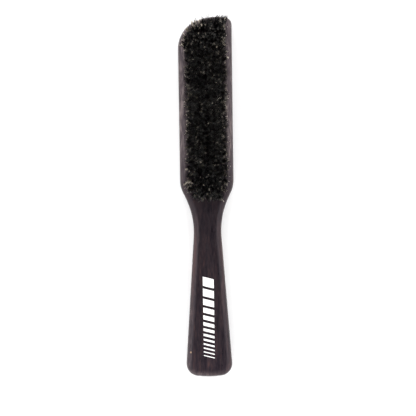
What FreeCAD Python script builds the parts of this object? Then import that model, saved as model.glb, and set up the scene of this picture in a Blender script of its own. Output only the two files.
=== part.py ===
"""Barber's fade brush: a one-piece wooden body with a bed of bristle tufts set into drilled holes.

The brush lies on its flat back. +Y runs from the butt of the handle to the tip of the head, +X to the right
when the bristles face the viewer, and +Z up through the bristles. The origin is on the back face, in the
middle of the body's length and width. All sizes are in millimetres.

Each tuft is a bundle of bristles folded in half over a short piece of flat wire, the anchor. The anchor is
driven into the bottom of a drilled hole, where its two ends bite into the wood and hold the tuft.
"""

import FreeCAD, Part
import math
import os

Vector = FreeCAD.Vector
Z_AXIS = Vector(0, 0, 1)

# ---- Wooden body ----
BODY_LENGTH = 205.0
HEAD_HALF_WIDTH = 15.4
BODY_THICKNESS = 11.5
EDGE_ROUNDING = 3.8  # on every front and back edge

# The outline is a polygon with rounded corners, measured from the butt (y = 0) to the tip.
# Each corner is (half width, height up the brush, rounding radius).
BUTT_CORNER = (13.5, 1.155, 7.0)
NECK = (7.15, 91.0, 44.5)
SHOULDER = (15.25, 108.3, 15.0)
BUTT_CROWN_RADIUS = 56.0
BUTT_CROWN_DROP = 1.5  # how far the crown's corner lies below the butt's two corners
TIP_CORNER_RADIUS = 4.3  # the small corner, on the right
TIP_CORNER_DROP = 0.7  # below the full length
TIP_SLOPE_RADIUS = 17.3  # the long curve, on the left
TIP_SLOPE_DROP = 5.05
TIP_CREST = (4.0, 31.0)  # x and rounding radius of the blunt corner between them
TIP_CREST_RISE = 0.425  # its corner lies this far above the full length

# ---- Bed of tufts: straight rows across the head, and a last row that follows the tip's curve ----
BRISTLE_HEIGHT = 13.5  # from the wood to the trimmed tips
STRAIGHT_ROW_COUNT = 25
FIRST_ROW_Y = 103.9
LAST_STRAIGHT_ROW_Y = 195.0
CURVE_START_Y = 186.0  # beyond this the last row runs along the bed's left side
TUFT_PITCH = 3.8  # across the head
CURVE_PITCH = 3.55  # between the last row and the ends of the straight rows that meet it
RIM_MARGIN = 5.9  # from the outline to the nearest hole centres
SIDE_LEAN = 4.0  # degrees, of the outermost tufts in a row
TIP_LEAN = 13.0  # degrees, of the last row, outwards from the fan's centre
HEEL_LEAN = 9.0  # degrees, of the first row, towards the handle
FAN_REACH = 18.0  # how far from either end of the bed the rows lean
FAN_CENTRE = (1.5, 180.0)  # x and y

# ---- One tuft, its hole and its anchor ----
HOLE_RADIUS = 1.25
HOLE_DEPTH = 7.5
DRILL_POINT_DEPTH = 0.75
TUFT_CLEARANCE = 0.02
TUFT_TIP_RADIUS = 1.62
ANCHOR_WIDTH = 2.9  # wider than the hole, so that its ends bite
ANCHOR_THICKNESS = 0.35
ANCHOR_HEIGHT = 1.8
ANCHOR_LIFT = 1.25  # above the end of the fold

# ---- Printed mark on the handle: slanted bars that fade from thick to thin ----
MARK_CENTRE_Y = 33.7
MARK_WIDTH = 6.2
MARK_BAR_COUNT = 13
MARK_FIRST_BAR = 5.2
MARK_LAST_BAR = 0.5
MARK_GAP = 1.5
MARK_SLANT = 1.6  # how far a bar's right end lies below its left end
INK_THICKNESS = 0.05

# The row frame's origin is under the middle of the body.
TO_ROW_FRAME = Vector(0, -BODY_LENGTH / 2, 0)


def rounded_polygon(corners):
    """A closed wire in the XY plane through (x, y, radius) corners, each rounded by a tangent arc."""
    arcs = []
    for i, (x, y, radius) in enumerate(corners):
        here = Vector(x, y, 0)
        before = Vector(*corners[i - 1][:2], 0)
        after = Vector(*corners[(i + 1) % len(corners)][:2], 0)
        back = (before - here).normalize()
        ahead = (after - here).normalize()
        half_angle = back.getAngle(ahead) / 2
        tangent_length = radius / math.tan(half_angle)
        bisector = (back + ahead).normalize()
        centre = here + bisector * (radius / math.sin(half_angle))
        arcs.append((here + back * tangent_length, centre - bisector * radius, here + ahead * tangent_length))
    edges = []
    for i, (start, middle, end) in enumerate(arcs):
        edges.append(Part.Arc(start, middle, end).toShape())
        next_start = arcs[(i + 1) % len(arcs)][0]
        edges.append(Part.LineSegment(end, next_start).toShape())
    return Part.Wire(edges)


def body_outline():
    """The brush seen from the front, from the right side of the tip clockwise."""
    butt_y = BUTT_CORNER[1]
    crest_x, crest_radius = TIP_CREST
    right_side = [SHOULDER, NECK, BUTT_CORNER]
    left_side = [(-x, y, radius) for x, y, radius in reversed(right_side)]
    return rounded_polygon(
        [(HEAD_HALF_WIDTH, BODY_LENGTH - TIP_CORNER_DROP, TIP_CORNER_RADIUS)]
        + right_side
        + [(0, butt_y - BUTT_CROWN_DROP, BUTT_CROWN_RADIUS)]
        + left_side
        + [(-HEAD_HALF_WIDTH, BODY_LENGTH - TIP_SLOPE_DROP, TIP_SLOPE_RADIUS)]
        + [(crest_x, BODY_LENGTH + TIP_CREST_RISE, crest_radius)]
    )


def row_ends(bed, y):
    """The least and greatest x of the bed at one height."""
    across = Part.LineSegment(Vector(-HEAD_HALF_WIDTH, y, 0), Vector(HEAD_HALF_WIDTH, y, 0)).toShape()
    crossings = [vertex.X for vertex in bed.section(across).Vertexes]
    return min(crossings), max(crossings)


def straight_row(y, left, right):
    """Evenly spaced tufts across the head, as (x, y, lean to the side, lean along the brush), in degrees."""
    towards_tip = max(0.0, 1 - (BODY_LENGTH - RIM_MARGIN - y) / FAN_REACH)
    towards_heel = max(0.0, 1 - (y - FIRST_ROW_Y) / FAN_REACH)
    lean_along = TIP_LEAN * towards_tip - HEEL_LEAN * towards_heel
    gaps = round((right - left) / TUFT_PITCH)
    tufts = []
    for column in range(gaps + 1):
        x = left + (right - left) * column / gaps
        tufts.append((x, y, SIDE_LEAN * x / (HEAD_HALF_WIDTH - RIM_MARGIN), lean_along))
    return tufts


def curved_row(bed):
    """The last row: evenly spaced tufts along the bed's curved end, which fan out."""
    edges = [edge for edge in bed.Edges if edge.CenterOfMass.y > CURVE_START_Y]
    curve = Part.Wire(Part.sortEdges(edges)[0])
    centre = Vector(*FAN_CENTRE, 0)
    tufts = []
    for place in curve.discretize(Number=1 + round(curve.Length / TUFT_PITCH)):
        outwards = (place - centre).normalize()
        tufts.append((place.x, place.y, TIP_LEAN * outwards.x, TIP_LEAN * outwards.y))
    return sorted(tufts)


def tuft_rows(outline):
    """All the rows of tufts, from the heel of the bed to the tip."""
    bed = outline.makeOffset2D(-RIM_MARGIN)
    inner_bed = outline.makeOffset2D(-RIM_MARGIN - CURVE_PITCH)
    row_pitch = (LAST_STRAIGHT_ROW_Y - FIRST_ROW_Y) / (STRAIGHT_ROW_COUNT - 1)
    rows = []
    for row in range(STRAIGHT_ROW_COUNT):
        y = FIRST_ROW_Y + row * row_pitch
        left, right = row_ends(bed, y)
        if y > CURVE_START_Y:
            left = row_ends(inner_bed, y)[0]
        rows.append(straight_row(y, left, right))
    return rows + [curved_row(bed)]


def stand_in_hole(shape, tuft):
    """Puts a shape made about the origin, with +Z out of the wood, at one tuft's hole and lean."""
    x, y, lean_side, lean_along = tuft
    slope = Vector(math.tan(math.radians(lean_side)), math.tan(math.radians(lean_along)), 1)
    placement = FreeCAD.Placement(Vector(x, y, BODY_THICKNESS), FreeCAD.Rotation(Z_AXIS, slope))
    placed = shape.copy()
    placed.Placement = placement.multiply(shape.Placement)
    return placed


def turned(profile):
    """The solid made by turning a closed profile of edges in the XZ plane about the Z axis."""
    return Part.Face(Part.Wire(profile)).revolve(Vector(0, 0, 0), Z_AXIS, 360)


def polyline(points):
    """Edges through (radius, height) points."""
    places = [Vector(radius, 0, height) for radius, height in points]
    return [Part.LineSegment(a, b).toShape() for a, b in zip(places, places[1:])]


def hole_tool():
    """A drilled hole with its drill point, standing proud of the wood so that it cuts through the surface."""
    proud = 2.0
    return turned(
        polyline(
            [
                (0, -HOLE_DEPTH - DRILL_POINT_DEPTH),
                (HOLE_RADIUS, -HOLE_DEPTH),
                (HOLE_RADIUS, proud),
                (0, proud),
                (0, -HOLE_DEPTH - DRILL_POINT_DEPTH),
            ]
        )
    )


def anchor_wire():
    """The flat wire that the tuft is folded over. Its width lies along the grain."""
    box = Part.makeBox(ANCHOR_THICKNESS, ANCHOR_WIDTH, ANCHOR_HEIGHT)
    box.translate(Vector(-ANCHOR_THICKNESS / 2, -ANCHOR_WIDTH / 2, -HOLE_DEPTH + ANCHOR_LIFT))
    return box


def folded_tuft():
    """A bundle of bristles: a round fold in the hole, a straight shank, and a slight flare above the wood."""
    radius = HOLE_RADIUS - TUFT_CLEARANCE
    fold_top = -HOLE_DEPTH + radius
    uncut = BRISTLE_HEIGHT + 2.0  # the tips are trimmed level later
    flare = (TUFT_TIP_RADIUS - radius) / BRISTLE_HEIGHT
    diagonal = radius * math.sqrt(0.5)
    fold = Part.Arc(
        Vector(0, 0, -HOLE_DEPTH), Vector(diagonal, 0, fold_top - diagonal), Vector(radius, 0, fold_top)
    ).toShape()
    sides = polyline(
        [(radius, fold_top), (radius, 0), (radius + flare * uncut, uncut), (0, uncut), (0, -HOLE_DEPTH)]
    )
    return turned([fold] + sides).cut(anchor_wire())


def trimmed(tuft):
    """A tuft in its place, with its tips cut level at the brush's full height."""
    room = 20.0
    box = tuft.BoundBox
    above = Part.makeBox(box.XLength + room, box.YLength + room, room)
    above.translate(Vector(box.XMin - room / 2, box.YMin - room / 2, BODY_THICKNESS + BRISTLE_HEIGHT))
    return tuft.cut(above)


def wooden_body(outline, rows):
    """The handle and head in one piece of wood, with rounded edges and a notched hole for every tuft."""
    block = Part.Face(outline).extrude(Vector(0, 0, BODY_THICKNESS))
    corner_lines = [edge for edge in block.Edges if edge.BoundBox.ZLength > EDGE_ROUNDING]
    rims = [edge for edge in block.Edges if edge not in corner_lines]
    block = block.makeFillet(EDGE_ROUNDING, rims)
    hole = hole_tool()
    anchor = anchor_wire()
    tufts = [tuft for row in rows for tuft in row]
    return block.cut([stand_in_hole(tool, tuft) for tuft in tufts for tool in (hole, anchor)])


def printed_mark():
    """White ink: slanted bars across the handle, each thinner than the last towards the butt."""
    shrink = (MARK_LAST_BAR / MARK_FIRST_BAR) ** (1 / (MARK_BAR_COUNT - 1))
    heights = [MARK_FIRST_BAR * shrink**i for i in range(MARK_BAR_COUNT)]
    length = sum(heights) + MARK_GAP * (MARK_BAR_COUNT - 1)
    left, right = -MARK_WIDTH / 2, MARK_WIDTH / 2
    top = MARK_CENTRE_Y + (length + MARK_SLANT) / 2
    bars = []
    for height in heights:
        corners = [
            Vector(left, top, BODY_THICKNESS),
            Vector(right, top - MARK_SLANT, BODY_THICKNESS),
            Vector(right, top - MARK_SLANT - height, BODY_THICKNESS),
            Vector(left, top - height, BODY_THICKNESS),
        ]
        face = Part.Face(Part.makePolygon(corners + corners[:1]))
        bars.append(face.extrude(Vector(0, 0, INK_THICKNESS)))
        top -= height + MARK_GAP
    return Part.makeCompound(bars)


def export(name, shape):
    """Writes one named sub-part in the row frame."""
    placed = shape.copy()
    placed.translate(TO_ROW_FRAME)
    placed.exportStep(f"parts/{name}.step")


def main():
    os.makedirs("parts", exist_ok=True)
    outline = body_outline()
    rows = tuft_rows(outline)
    tuft = folded_tuft()
    anchor = anchor_wire()
    export("wooden_body", wooden_body(outline, rows))
    export("printed_mark", printed_mark())
    for number, row in enumerate(rows, start=1):
        export(f"tuft_row_{number:02d}", Part.makeCompound([trimmed(stand_in_hole(tuft, t)) for t in row]))
        export(f"anchor_row_{number:02d}", Part.makeCompound([stand_in_hole(anchor, t) for t in row]))
    print(f"{sum(map(len, rows))} tufts in {len(rows)} rows")


main()
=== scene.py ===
"""Looks of the fade brush: stained wood, a bed of separate boar bristles, white ink, and a plain studio.

Everything is in metres in the row frame. The brush lies on its back on the floor, with +Y towards the tip.
"""

import math

import bpy
import numpy as np
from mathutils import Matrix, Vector


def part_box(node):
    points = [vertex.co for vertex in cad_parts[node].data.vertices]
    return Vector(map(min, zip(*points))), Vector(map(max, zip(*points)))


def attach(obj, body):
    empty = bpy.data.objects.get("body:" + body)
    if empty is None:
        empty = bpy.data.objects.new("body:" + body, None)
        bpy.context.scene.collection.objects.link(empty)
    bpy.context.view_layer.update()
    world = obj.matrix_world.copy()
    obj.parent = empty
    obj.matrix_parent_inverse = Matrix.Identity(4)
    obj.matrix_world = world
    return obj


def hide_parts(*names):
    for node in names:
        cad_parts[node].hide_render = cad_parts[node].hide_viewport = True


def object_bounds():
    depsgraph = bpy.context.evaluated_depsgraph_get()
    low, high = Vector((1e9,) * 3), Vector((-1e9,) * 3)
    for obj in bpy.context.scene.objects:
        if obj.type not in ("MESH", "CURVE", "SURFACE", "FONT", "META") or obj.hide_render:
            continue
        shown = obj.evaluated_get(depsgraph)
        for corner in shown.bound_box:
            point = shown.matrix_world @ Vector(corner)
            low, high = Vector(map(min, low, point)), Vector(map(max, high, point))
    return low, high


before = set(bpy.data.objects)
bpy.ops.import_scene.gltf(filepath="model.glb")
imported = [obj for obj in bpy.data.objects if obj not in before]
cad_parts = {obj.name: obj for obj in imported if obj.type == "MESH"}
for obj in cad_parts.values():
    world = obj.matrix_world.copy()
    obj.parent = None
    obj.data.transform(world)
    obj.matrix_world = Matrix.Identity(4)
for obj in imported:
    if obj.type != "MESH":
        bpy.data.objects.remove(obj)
cad_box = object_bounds()

MM = 0.001
ROW_NODES = sorted(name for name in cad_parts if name.startswith("tuft_row_"))
ANCHOR_NODES = sorted(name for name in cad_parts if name.startswith("anchor_row_"))
WOOD_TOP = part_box("wooden_body")[1].z
WOOD_MIDDLE = WOOD_TOP / 2
TIPS_TOP = cad_box[1].z

# ---- Wood: colours, and the places where its look changes ----
STAIN = (
    (0.36, (0.0065, 0.0048, 0.0070)),
    (0.48, (0.0122, 0.0092, 0.0119)),
    (0.58, (0.0196, 0.0130, 0.0147)),
    (0.70, (0.0400, 0.0215, 0.0195)),
)
STAIN_CLOUDS = ((0.3, (0.70, 0.70, 0.78)), (0.7, (1.30, 1.22, 1.20)))  # these multiply the stain
# Lighter bare-wood colours: partly real wear on the edges, partly painted light and painted highlight on the
# edges and the head's margin
BARE_WOOD_AND_PAINTED_LIGHT = ((0.40, (0.058, 0.043, 0.049)), (0.53, (0.138, 0.111, 0.114)), (0.64, (0.268, 0.222, 0.212)))
WEAR_AND_LIGHT_MOST = 0.55  # how much of the lighter bare-wood colour shows at most, as a share, where wear and painted light are fullest
REDDISH = (0.080, 0.040, 0.038, 1)
CHIPPED = (0.23, 0.155, 0.10, 1)
PORE = (0.004, 0.003, 0.003, 1)
PORE_SHARE = 0.6
ROUNDED_OFF = (0.985, 0.75)  # the normal's Z where an edge's rounding begins, and where it counts in full
TURNED_DOWN = (0.1, 0.6)  # the normal's Z on the sides, where the head's margin gets half as much painted light, and where it gets it fully
BED_SIDE = (9.8 * MM, 11.4 * MM)  # X, to either side, where the bed ends and the bare margin begins
BED_TIP = (94 * MM, 97 * MM)  # Y, the same
HEAD_PAINTED_LIGHT_SPAN = (0.0, 30 * MM)  # Y from the shoulders, where the painted light on the head's bare margin and edges sets in, to where it is full
BUTT_WEAR_AND_LIGHT_SPAN = (-40 * MM, -90 * MM)  # Y, the same for the handle's edges, which get lighter towards the butt, partly by wear and partly by a painted highlight
BUTT_WEAR_AND_LIGHT_ACROSS = (6 * MM, -6 * MM)  # X, from the right edge, hardly lighter, to the left edge
PALER_TOWARDS_BUTT = (0.0, -95 * MM)  # Y over which the wood's colour gets lighter towards the butt, slowly at first
PALER_TOWARDS_BUTT_POWER = 3.0
REDDER = (-60 * MM, -25 * MM)  # Y of the handle's edges, where they get redder
LESS_RED = (-36 * MM, -14 * MM)  # Y, and then less so towards the head
NICK_PLACE = (-10.4 * MM, -88.5 * MM, WOOD_TOP - 0.6 * MM)  # a chip in the left edge, near the butt
NICK_RADIUS = 0.6 * MM

# ---- Bristles ----
SEED = 7
HAIRS_PER_TUFT = 160
HAIR_SIDES = 3
HAIR_STATIONS = (0.0, 0.3, 0.62, 0.9, 1.0)  # shares of a hair's length that have a ring of points
HAIR_RADIUS = 0.11 * MM
HAIR_TIP_RADIUS = 0.075 * MM
HAIR_THICKNESS = (0.8, 1.2)  # least and most, as a share of those two radii
HAIR_WAVE = 0.12 * MM  # how far a hair's middle strays from its line
STRAIGHT_SHARE = 0.6  # of a hair's sideways shift, the share that is plain lean and not bend
BEND_POWER = 1.7  # more bends it nearer its tip
HEIGHT_LOST = 0.6  # by a shifted hair: its squared height is less by this share of its squared shift
LEAST_RISE = 0.5  # of a hair's length
ROOT_RADIUS = 1.12 * MM  # of the bundle where it leaves its hole
ROOT_DEPTH = 1.5 * MM  # how far down in the hole a hair begins
BUNDLE_FLARE = 1.05  # how much wider the bundle is at its tips, as a share
CLUMPS_PER_TUFT = 36
CLUMP_PULL = 0.4  # how far a hair's tip moves towards its clump's middle, as a share
CLUMP_SPREAD = 0.38 * MM
HAIR_SPREAD = 0.2 * MM
TUFT_SPREAD = 0.35 * MM
COMBED = 0.5 * MM  # all tips lie a little to the right
TRIM_SPREAD = 0.2 * MM  # unevenness of the trimmed tips
SHORT_SHARE = 0.1  # of all hairs
SHORT_BY = 2.6 * MM  # the most that a broken or short hair falls below the others
STRAY_SHARE = 0.03  # of all hairs, those that point anywhere
STRAY_SPLAY = 2.0 * MM
NEIGHBOUR_REACH = 8.0 * MM  # tufts nearer than this are a tuft's neighbours
RIM_PUSH = 0.35  # how one-sided a tuft's neighbours are if it is on the bed's rim: 0 all round, 1 one side
RIM_DEPTH = 0.3  # how far behind a rim tuft's middle its outer hairs begin, as a share of the bundle's radius
LAID_FROM = 0.4  # how far out in its tuft a hair is, from 0 to 1, if it may lie over the wood
OUTERMOST_FROM = 0.55  # and if it is one of the outermost
SIDE_SET = -1.1 * MM  # outward shift of all the tips of a tuft on the bed's sides or heel
SIDE_SPLAY = 0.6 * MM  # and the further outward bend of its outermost hairs
TIP_SET = -0.3 * MM  # the same at the bed's tip
TIP_SPLAY = 0.9 * MM
TIP_ONSET = 3  # the power with which a tuft that faces the tip counts as one at the tip
SLOPE_SHARE = 0.36  # of the outermost clumps at the sloped side of the tip, those that lie over the wood
SLOPE_SPLAY = (0.9 * MM, 2.0 * MM)  # and how much further out they bend

# Shares of the bristle colours: black, brown, grey, cream, blond
STEM_SHADES = (0.82, 0.13, 0.05, 0.0, 0.0)
END_SHADES = (0.62, 0.15, 0.19, 0.025, 0.015)  # an end is never darker than its stem; the paler ends are partly the bristles' own lighter split tips and partly painted highlight for light on tips that face the dim ceiling
HEEL_PAINTED_SHEEN_SHADES = (0.48, 0.27, 0.23, 0.01, 0.01)  # of stems and ends at the heel of the bed, greyer there as a painted sheen for the light that the leaning hairs' sides catch
RIM_SHADES = (0.51, 0.12, 0.13, 0.15, 0.09)  # of the ends of the outermost hairs
LAID_SHADES = (0.0, 0.05, 0.15, 0.60, 0.20)  # of the hairs that lie over the wood
ONE_SHADE_SHARE = 0.2  # of the outermost hairs, those with one shade from root to end
FACES_AN_END = 0.6  # how much of a rim tuft's outward direction is along the bed if it is at the tip or heel
PALE_TUFT = ("tuft_row_03", 0)  # one tuft at the lower left that is mostly undyed
PALE_SHADES = (0.40, 0.10, 0.12, 0.24, 0.14)
PALE_SPLAY = (-1.6 * MM, -1.3 * MM)  # how far its tips lie to the left and towards the handle
INNER_LOYALTY = 0.6  # the share of a clump's hairs that have its shade
RIM_LOYALTY = 0.7  # the same for the outermost hairs


# ---------------------------------------------------------------- materials


class Shader:
    """A new material with its Principled node, and short ways to add nodes to it."""

    def __init__(self, name):
        self.material = bpy.data.materials.new(name)
        self.material.use_nodes = True
        self.tree = self.material.node_tree
        self.surface = self.tree.nodes["Principled BSDF"]

    def node(self, kind, inputs=(), **settings):
        """A node with its settings, and with its inputs set to values or linked to other nodes' outputs."""
        made = self.tree.nodes.new(kind)
        for name, value in settings.items():
            setattr(made, name, value)
        for key, value in dict(inputs).items():
            self.feed(made.inputs[key], value)
        return made

    def feed(self, socket, value):
        if isinstance(value, bpy.types.NodeSocket):
            self.tree.links.new(value, socket)
        else:
            socket.default_value = value

    def set(self, **values):
        """Sets inputs of the Principled node. An underscore stands for a space in the input's name."""
        for name, value in values.items():
            self.feed(self.surface.inputs[name.replace("_", " ")], value)

    def stretched(self, across, along, through):
        """Object coordinates divided by the pattern's sizes along X, Y and Z."""
        where = self.node("ShaderNodeTexCoord").outputs["Object"]
        scale = (1 / across, 1 / along, 1 / through)
        return self.node("ShaderNodeMapping", {"Vector": where, "Scale": scale}).outputs["Vector"]

    def noise(self, vector, detail=2.0, roughness=0.5, distortion=0.0):
        inputs = {
            "Vector": vector, "Scale": 1.0, "Detail": detail, "Roughness": roughness, "Distortion": distortion
        }
        return self.node("ShaderNodeTexNoise", inputs).outputs["Fac"]

    def ramp(self, value, *stops):
        """A colour ramp through (position, colour) stops."""
        made = self.node("ShaderNodeValToRGB", {"Fac": value})
        elements = made.color_ramp.elements
        while len(elements) < len(stops):
            elements.new(0.5)
        for element, (position, colour) in zip(elements, stops):
            element.position = position
            element.color = (*colour, 1)
        return made.outputs["Color"]

    def ranged(self, value, low, high, to_low, to_high):
        inputs = {"Value": value, "From Min": low, "From Max": high, "To Min": to_low, "To Max": to_high}
        return self.node("ShaderNodeMapRange", inputs).outputs["Result"]

    def maths(self, operation, a, b):
        return self.node("ShaderNodeMath", {0: a, 1: b}, operation=operation).outputs["Value"]

    def mixed(self, share, a, b):
        made = self.node("ShaderNodeMix", data_type="RGBA")
        self.feed(made.inputs["Factor"], share)
        self.feed(made.inputs["A"], a)
        self.feed(made.inputs["B"], b)
        return made.outputs["Result"]

    def bump(self, height, strength, distance):
        inputs = {"Height": height, "Strength": strength, "Distance": distance}
        self.set(Normal=self.node("ShaderNodeBump", inputs).outputs["Normal"])


def stained_wood():
    """Dark purplish-brown stain under satin lacquer, with reddish grain and pores along the brush."""
    wood = Shader("stained_wood")
    sway = wood.noise(wood.stretched(7 * MM, 26 * MM, 7 * MM), detail=3)
    grain = wood.noise(wood.stretched(1.6 * MM, 17 * MM, 1.6 * MM), detail=6, roughness=0.62, distortion=0.6)
    fine = wood.noise(wood.stretched(0.75 * MM, 4.5 * MM, 0.75 * MM), detail=3, roughness=0.6)
    pores = wood.ranged(
        wood.noise(wood.stretched(0.30 * MM, 3.6 * MM, 0.30 * MM), detail=1), 0.60, 0.70, 0.0, 1.0
    )
    streaks = wood.maths("ADD", wood.maths("MULTIPLY", grain, 0.6), wood.maths("MULTIPLY", fine, 0.4))
    colour = wood.ramp(streaks, *STAIN)
    clouds = wood.ramp(sway, *STAIN_CLOUDS)
    clouded = wood.node("ShaderNodeMix", data_type="RGBA", blend_type="MULTIPLY")
    wood.feed(clouded.inputs["Factor"], 1.0)
    wood.feed(clouded.inputs["A"], colour)
    wood.feed(clouded.inputs["B"], clouds)

    where = wood.node("ShaderNodeTexCoord").outputs
    facing = wood.node("ShaderNodeSeparateXYZ", {0: where["Normal"]}).outputs["Z"]
    place = wood.node("ShaderNodeSeparateXYZ", {0: where["Object"]}).outputs
    edge = wood.ranged(wood.maths("ABSOLUTE", facing, 0.0), *ROUNDED_OFF, 0.0, 1.0)
    beside_bed = wood.ranged(wood.maths("ABSOLUTE", place["X"], 0.0), *BED_SIDE, 0.0, 1.0)
    beyond_bed = wood.ranged(place["Y"], *BED_TIP, 0.0, 1.0)
    on_side = wood.ranged(facing, *TURNED_DOWN, 0.55, 1.0)
    margin = wood.maths("MAXIMUM", edge, wood.maths("MAXIMUM", beside_bed, beyond_bed))
    # Painted light: the head's bare margin and edges get the lighter bare-wood colour, which keeps them
    # bright where the bristles shade them.
    head_painted_light = wood.maths("MULTIPLY", margin, wood.ranged(place["Y"], *HEAD_PAINTED_LIGHT_SPAN, 0.0, on_side))
    # Partly wear and partly a painted highlight: the handle's rounded edges get lighter towards the butt,
    # more on the left.
    butt_wear_and_light = wood.ranged(place["Y"], *BUTT_WEAR_AND_LIGHT_SPAN, 0.0, 0.6)
    left_wear_and_light = wood.maths("MULTIPLY", butt_wear_and_light, wood.ranged(place["X"], *BUTT_WEAR_AND_LIGHT_ACROSS, 0.1, 1.0))
    wear_and_painted_light = wood.maths("MAXIMUM", head_painted_light, wood.maths("MULTIPLY", edge, left_wear_and_light))
    patchy_wear_and_light = wood.maths("MULTIPLY", wear_and_painted_light, wood.ranged(fine, 0.35, 0.65, 0.5, 1.0))
    towards_butt = wood.ranged(place["Y"], *PALER_TOWARDS_BUTT, 0.0, 1.0)
    butt_paleness = wood.ranged(wood.maths("POWER", towards_butt, PALER_TOWARDS_BUTT_POWER), 0.0, 1.0, 0.9, 1.5)
    stained = wood.node(
        "ShaderNodeVectorMath", {0: clouded.outputs["Result"], "Scale": butt_paleness}, operation="SCALE"
    ).outputs["Vector"]
    bare_and_lit_colour = wood.ramp(streaks, *BARE_WOOD_AND_PAINTED_LIGHT)
    reddest = wood.maths(
        "MINIMUM",
        wood.ranged(place["Y"], *REDDER, 0.15, 0.9),
        wood.ranged(place["Y"], *LESS_RED, 0.9, 0.15),
    )
    reddened = wood.maths("MULTIPLY", reddest, wood.ranged(grain, 0.42, 0.58, 0.25, 1.0))
    reddish = wood.mixed(wood.maths("MULTIPLY", edge, reddened), stained, REDDISH)
    worn_and_lit_colour = wood.mixed(wood.maths("MULTIPLY", patchy_wear_and_light, WEAR_AND_LIGHT_MOST), reddish, bare_and_lit_colour)

    nicked = wood.node(
        "ShaderNodeVectorMath", {0: where["Object"], 1: NICK_PLACE}, operation="DISTANCE"
    ).outputs["Value"]
    nick = wood.ranged(nicked, 0.9 * NICK_RADIUS, NICK_RADIUS, 1.0, 0.0)
    chipped = wood.mixed(nick, worn_and_lit_colour, CHIPPED)
    pored = wood.mixed(wood.maths("MULTIPLY", pores, PORE_SHARE), chipped, PORE)
    wood.set(Base_Color=pored)
    wood.set(Roughness=wood.ranged(wood.maths("ADD", fine, sway), 0.7, 1.3, 0.27, 0.38))
    wood.set(IOR=1.3, Specular_Tint=(1.0, 0.86, 0.93, 1))
    fibres = wood.maths("ADD", wood.maths("MULTIPLY", fine, 1.2), grain)
    wood.bump(wood.maths("SUBTRACT", fibres, pores), 0.7, 0.04 * MM)
    return wood.material


def white_ink():
    """Matt pad-printed ink, a little uneven over the grain."""
    ink = Shader("white_ink")
    cover = ink.noise(ink.stretched(0.5 * MM, 2.0 * MM, 0.5 * MM), detail=3, roughness=0.6)
    ink.set(Base_Color=ink.ramp(cover, (0.25, (0.62, 0.61, 0.60)), (0.5, (0.84, 0.84, 0.82))))
    ink.set(Roughness=ink.ranged(cover, 0.3, 0.7, 0.62, 0.5))
    ink.bump(cover, 0.3, 0.01 * MM)
    return ink.material


def anchor_wire():
    """Galvanised flat wire with drawing marks along its width."""
    wire = Shader("anchor_wire")
    drawn = wire.noise(wire.stretched(0.08 * MM, 1.5 * MM, 0.08 * MM), detail=3)
    wire.set(Base_Color=wire.ramp(drawn, (0.3, (0.42, 0.42, 0.41)), (0.7, (0.66, 0.66, 0.65))))
    wire.set(Metallic=1.0)
    wire.set(Roughness=wire.ranged(drawn, 0.3, 0.7, 0.32, 0.5))
    wire.bump(drawn, 0.3, 0.005 * MM)
    return wire.material


def bristle(name, colour, gloss):
    """One shade of boar bristle. Fine scales along each hair break up its gloss."""
    hair = Shader(name)
    scales = hair.noise(hair.stretched(0.12 * MM, 0.12 * MM, 0.7 * MM), detail=2)
    hair.set(Base_Color=(*colour, 1))
    hair.set(Specular_IOR_Level=gloss)
    hair.set(Roughness=hair.ranged(scales, 0.3, 0.7, 0.45, 0.65))
    hair.bump(scales, 0.3, 0.01 * MM)
    return hair.material


BRISTLE_SHADES = (
    bristle("bristle_black", (0.0014, 0.0014, 0.0014), 0.06),
    bristle("bristle_brown", (0.0080, 0.0074, 0.0066), 0.15),
    bristle("bristle_grey", (0.088, 0.088, 0.084), 0.4),
    bristle("bristle_cream", (0.80, 0.72, 0.62), 0.5),
    bristle("bristle_blond", (0.32, 0.28, 0.21), 0.5),
)


# ---------------------------------------------------------------- bristles


def ring_centres(points):
    """The middles of separate rings of points, from left to right."""
    gap = 0.32 * MM
    passes = 6  # each one doubles how many points along its ring a point is linked to
    points = np.unique(points.round(5), axis=0)
    linked = np.linalg.norm(points[:, None] - points[None], axis=2) < gap
    for _ in range(passes):
        linked = linked.astype(np.float32) @ linked > 0
    rings = np.unique(linked, axis=0)
    centres = np.array([(points[ring].min(axis=0) + points[ring].max(axis=0)) / 2 for ring in rings])
    return centres[np.argsort(centres[:, 0])]


def tuft_axes(node):
    """Where each tuft in a row leaves the wood, and the middle of its trimmed tips."""
    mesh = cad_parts[node].data
    points = np.array([vertex.co for vertex in mesh.vertices])
    near_wood = 0.5 * MM
    level = 0.01 * MM
    roots = ring_centres(points[np.abs(points[:, 2] - WOOD_TOP) < near_wood])
    tips = ring_centres(points[points[:, 2] > TIPS_TOP - level])
    roots[:, 2] = WOOD_TOP
    tips[:, 2] = TIPS_TOP
    return roots, tips


def outward_from(root, roots):
    """The unit direction away from a tuft's neighbours if it is on the bed's rim, or nothing inside."""
    away = (root - roots)[:, :2]
    distances = np.linalg.norm(away, axis=1)
    near = (distances > 0) & (distances < NEIGHBOUR_REACH)
    push = (away[near] / distances[near, None]).mean(axis=0)
    length = np.linalg.norm(push)
    return push / length if length > RIM_PUSH else np.zeros(2)


def in_disc(rng, count, radius):
    """Random (x, y) places in a disc."""
    angle = rng.uniform(0, 2 * math.pi, count)
    reach = radius * np.sqrt(rng.uniform(0, 1, count))
    return np.stack([reach * np.cos(angle), reach * np.sin(angle)], axis=1)


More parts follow.
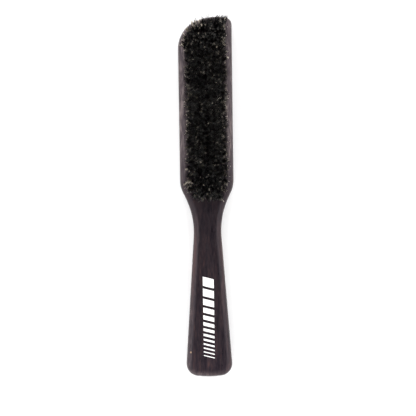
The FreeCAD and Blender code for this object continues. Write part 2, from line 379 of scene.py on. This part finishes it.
def hair_lines(rng, root, tip, outward, combed):
    """Each hair of one tuft: its points as (station, xyz), its clump, and if it is outermost or laid."""
    count = HAIRS_PER_TUFT
    places = in_disc(rng, count, ROOT_RADIUS)
    clump_places = in_disc(rng, CLUMPS_PER_TUFT, ROOT_RADIUS)
    distances = np.linalg.norm(places[:, None] - clump_places[None], axis=2)
    clump = distances.argmin(axis=1)

    lean = (tip - root)[:2] + rng.normal(0, TUFT_SPREAD, 2) + combed
    shift = lean + BUNDLE_FLARE * places
    shift = shift + CLUMP_PULL * (1 + BUNDLE_FLARE) * (clump_places[clump] - places)
    shift = shift + rng.normal(0, CLUMP_SPREAD, (CLUMPS_PER_TUFT, 2))[clump]
    shift = shift + rng.normal(0, HAIR_SPREAD, (count, 2))
    on_rim = np.clip(places @ outward / ROOT_RADIUS + RIM_DEPTH, 0, 1)
    tipward = max(outward[1], 0)
    at_tip = tipward**TIP_ONSET
    rim_set = SIDE_SET + (TIP_SET - SIDE_SET) * at_tip
    splay = SIDE_SPLAY + (TIP_SPLAY - SIDE_SPLAY) * at_tip
    shift = shift + outward * (rim_set + on_rim * np.abs(rng.normal(0, splay, count)))[:, None]
    stray = rng.uniform(0, 1, count) < STRAY_SHARE
    shift = shift + stray[:, None] * in_disc(rng, count, STRAY_SPLAY)
    # This is 1 at the middle of the slope, and 0 at the bed's left side and at its tip.
    slopeward = 2 * max(-outward[0], 0) * tipward
    laid = (on_rim > LAID_FROM) & (rng.uniform(0, 1, CLUMPS_PER_TUFT) < SLOPE_SHARE * slopeward)[clump]
    reach = rng.uniform(*SLOPE_SPLAY, CLUMPS_PER_TUFT)[clump]
    shift = shift + (laid * reach)[:, None] * outward

    length = (TIPS_TOP - WOOD_TOP) + rng.normal(0, TRIM_SPREAD / 2, count)
    length = length + rng.normal(0, TRIM_SPREAD, CLUMPS_PER_TUFT)[clump]
    short = rng.uniform(0, 1, count) < SHORT_SHARE
    length = length - short * rng.uniform(0, SHORT_BY, count)
    lost = (HEIGHT_LOST * (shift - lean) ** 2).sum(axis=1)
    rise = np.sqrt(np.maximum(length**2 - lost, (LEAST_RISE * length) ** 2))

    along = np.array(HAIR_STATIONS)
    share = STRAIGHT_SHARE * along + (1 - STRAIGHT_SHARE) * along**BEND_POWER
    wave = rng.normal(0, HAIR_WAVE, (count, 2))
    lines = np.zeros((count, len(along), 3))
    lines[:, :, :2] = root[:2] + places[:, None] + share[None, :, None] * shift[:, None]
    lines[:, :, :2] += np.sin(along * math.pi)[None, :, None] * wave[:, None]
    lines[:, :, 2] = WOOD_TOP - ROOT_DEPTH + along[None] * (rise + ROOT_DEPTH)[:, None]
    return lines, clump, on_rim > OUTERMOST_FROM, laid


def picked(rng, clump, shares, loyalty):
    """A shade for each hair: a share of a clump's hairs, its loyalty, have the clump's own shade."""
    of_clump = rng.choice(len(shares), CLUMPS_PER_TUFT, p=shares)[clump]
    of_hair = rng.choice(len(shares), len(clump), p=shares)
    return np.where(rng.uniform(0, 1, len(clump)) < loyalty, of_clump, of_hair)


def hair_shades(rng, clump, outermost, laid, outward, pale):
    """A shade for each hair's stem, and one for its end, which is never darker."""
    stem_mix, end_mix, rim_mix = STEM_SHADES, END_SHADES, RIM_SHADES
    if outward[1] > FACES_AN_END:
        rim_mix = END_SHADES
    # At the heel the greyer mix is painted sheen, standing in for light on the sides of the leaning hairs.
    if outward[1] < -FACES_AN_END:
        stem_mix = end_mix = rim_mix = HEEL_PAINTED_SHEEN_SHADES
    if pale:
        rim_mix = PALE_SHADES
    on_show = outermost | pale
    rim_ends = picked(rng, clump, rim_mix, RIM_LOYALTY)
    inner_ends = picked(rng, clump, end_mix, INNER_LOYALTY)
    stems = picked(rng, clump, stem_mix, INNER_LOYALTY)
    one_shade = pale | (on_show & (rng.uniform(0, 1, len(clump)) < ONE_SHADE_SHARE))
    stems = np.where(one_shade, rim_ends, stems)
    stems = np.where(laid, picked(rng, clump, LAID_SHADES, RIM_LOYALTY), stems)
    return stems, np.maximum(stems, np.where(on_show, rim_ends, inner_ends))


def hair_mesh(rng, lines):
    """Closed tapered tubes along the lines: their points, and the faces of a hair's stem and of its end."""
    count, stations, _ = lines.shape
    tangents = np.gradient(lines, axis=1)
    tangents /= np.linalg.norm(tangents, axis=2, keepdims=True)
    turn = rng.uniform(0, 2 * math.pi, count)
    first = np.stack([np.cos(turn), np.sin(turn), np.zeros(count)], axis=1)[:, None]
    side = np.cross(tangents, first)
    side /= np.linalg.norm(side, axis=2, keepdims=True)
    other = np.cross(tangents, side)
    thickness = rng.uniform(*HAIR_THICKNESS, count)[:, None]
    taper = np.linspace(0, 1, stations) ** 2
    radius = thickness * (HAIR_RADIUS + (HAIR_TIP_RADIUS - HAIR_RADIUS) * taper)[None]
    corners = np.arange(HAIR_SIDES) * 2 * math.pi / HAIR_SIDES
    points = (
        lines[:, :, None]
        + (radius[:, :, None] * np.cos(corners))[..., None] * side[:, :, None]
        + (radius[:, :, None] * np.sin(corners))[..., None] * other[:, :, None]
    )
    walls = []
    for station in range(stations - 1):
        for corner in range(HAIR_SIDES):
            a = station * HAIR_SIDES + corner
            b = station * HAIR_SIDES + (corner + 1) % HAIR_SIDES
            walls.append((a, b, b + HAIR_SIDES, a + HAIR_SIDES))
    last = (stations - 1) * HAIR_SIDES
    stem = walls[:-HAIR_SIDES] + [tuple(reversed(range(HAIR_SIDES)))]
    end = walls[-HAIR_SIDES:] + [tuple(range(last, last + HAIR_SIDES))]
    return points.reshape(-1, 3), stem, end


def bristle_row(row, node, axes, all_roots):
    """All the hairs of one row of tufts, as one piece that stands for the row's plain solids."""
    rng = np.random.default_rng([SEED, row])
    all_points = []
    all_faces = []
    all_shades = []
    start = 0
    for column, (root, tip) in enumerate(zip(*axes)):
        pale = (node, column) == PALE_TUFT
        outward = outward_from(root, all_roots)
        combed = PALE_SPLAY if pale else (COMBED, 0)
        lines, clump, outermost, laid = hair_lines(rng, root, tip, outward, combed)
        points, stem, end = hair_mesh(rng, lines)
        stem_shades, end_shades = hair_shades(rng, clump, outermost, laid, outward, pale)
        for hair in range(HAIRS_PER_TUFT):
            all_faces.extend(tuple(start + index for index in face) for face in stem + end)
            all_shades.extend([stem_shades[hair]] * len(stem) + [end_shades[hair]] * len(end))
            start += len(HAIR_STATIONS) * HAIR_SIDES
        all_points.append(points)
    mesh = bpy.data.meshes.new(node.replace("tuft", "bristle"))
    mesh.from_pydata(np.concatenate(all_points).tolist(), [], all_faces)
    for shade in BRISTLE_SHADES:
        mesh.materials.append(shade)
    mesh.polygons.foreach_set("material_index", np.array(all_shades, np.int32))
    mesh.polygons.foreach_set("use_smooth", np.ones(len(all_shades), bool))
    mesh.update()
    piece = bpy.data.objects.new(mesh.name, mesh)
    bpy.context.scene.collection.objects.link(piece)
    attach(piece, "root")
    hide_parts(node)


# ---------------------------------------------------------------- studio

VIEW_CENTRE = Vector((0.45 * MM, -6.5 * MM, WOOD_MIDDLE))
VIEW_WIDTH = 237.6 * MM
VIEW_TURN = -0.0143  # radians: the tip leans a little to the left
LENS = 200.0
FLOOR_REACH = 30.0
FLOOR_DEPTH = -0.1 * MM  # just under the brush
WALLS = (0.83, (1.0, 1.0, 1.0))  # how far up, as the upward part of a direction, and their colour
CEILING = (0.94, (0.05, 0.05, 0.05))
WALL_STRENGTH = 1.75


def camera():
    """Straight above the brush, with a long lens."""
    data = bpy.data.cameras.new("camera")
    data.lens = LENS
    made = bpy.data.objects.new("camera", data)
    bpy.context.scene.collection.objects.link(made)
    distance = VIEW_WIDTH * LENS / data.sensor_width
    made.location = VIEW_CENTRE + Vector((0, 0, distance))
    made.rotation_euler = (0, 0, VIEW_TURN)
    data.clip_end = 10.0
    bpy.context.scene.camera = made


def floor():
    """A wide, plain, nearly white floor."""
    plan = ((-1, -1), (1, -1), (1, 1), (-1, 1))
    corners = [(x * FLOOR_REACH, y * FLOOR_REACH, FLOOR_DEPTH) for x, y in plan]
    mesh = bpy.data.meshes.new("floor")
    mesh.from_pydata(corners, [], [(0, 1, 2, 3)])
    paint = Shader("floor_paint")
    paint.set(Base_Color=(0.98, 0.98, 0.98, 1), Roughness=0.9, Specular_IOR_Level=0.0)
    mesh.materials.append(paint.material)
    made = bpy.data.objects.new("floor", mesh)
    bpy.context.scene.collection.objects.link(made)


def soft_light(name, azimuth, elevation, strength, angle):
    """A large, far, soft lamp. Azimuth 0 is to the right of the brush and 90 beyond its tip."""
    data = bpy.data.lights.new(name, "SUN")
    data.energy = strength
    data.angle = math.radians(angle)
    made = bpy.data.objects.new(name, data)
    bpy.context.scene.collection.objects.link(made)
    a, e = math.radians(azimuth), math.radians(elevation)
    towards = Vector((math.cos(a) * math.cos(e), math.sin(a) * math.cos(e), math.sin(e)))
    made.rotation_euler = towards.to_track_quat("Z", "Y").to_euler()


def studio_walls():
    """Bright walls all round under a dim ceiling."""
    world = bpy.data.worlds.new("studio")
    bpy.context.scene.world = world
    world.use_nodes = True
    nodes, links = world.node_tree.nodes, world.node_tree.links
    direction = nodes.new("ShaderNodeTexCoord")
    parts = nodes.new("ShaderNodeSeparateXYZ")
    ramp = nodes.new("ShaderNodeValToRGB")
    links.new(direction.outputs["Generated"], parts.inputs[0])
    links.new(parts.outputs["Z"], ramp.inputs["Fac"])
    links.new(ramp.outputs["Color"], nodes["Background"].inputs["Color"])
    for element, (position, colour) in zip(ramp.color_ramp.elements, (WALLS, CEILING)):
        element.position = position
        element.color = (*colour, 1)
    nodes["Background"].inputs["Strength"].default_value = WALL_STRENGTH


bpy.context.scene.view_settings.view_transform = "Standard"
camera()
floor()
studio_walls()
soft_light("left", 170, 40, 1.0, 50)
soft_light("right", 10, 40, 0.8, 50)

NODE_MATERIALS = {"wooden_body": stained_wood(), "printed_mark": white_ink()}
NODE_MATERIALS.update(dict.fromkeys(ANCHOR_NODES, anchor_wire()))
for name, material in NODE_MATERIALS.items():
    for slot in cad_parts[name].material_slots:
        slot.material = material
ROW_AXES = [tuft_axes(name) for name in ROW_NODES]
ALL_ROOTS = np.concatenate([roots for roots, tips in ROW_AXES])
for number, name in enumerate(ROW_NODES):
    bristle_row(number, name, ROW_AXES[number], ALL_ROOTS)
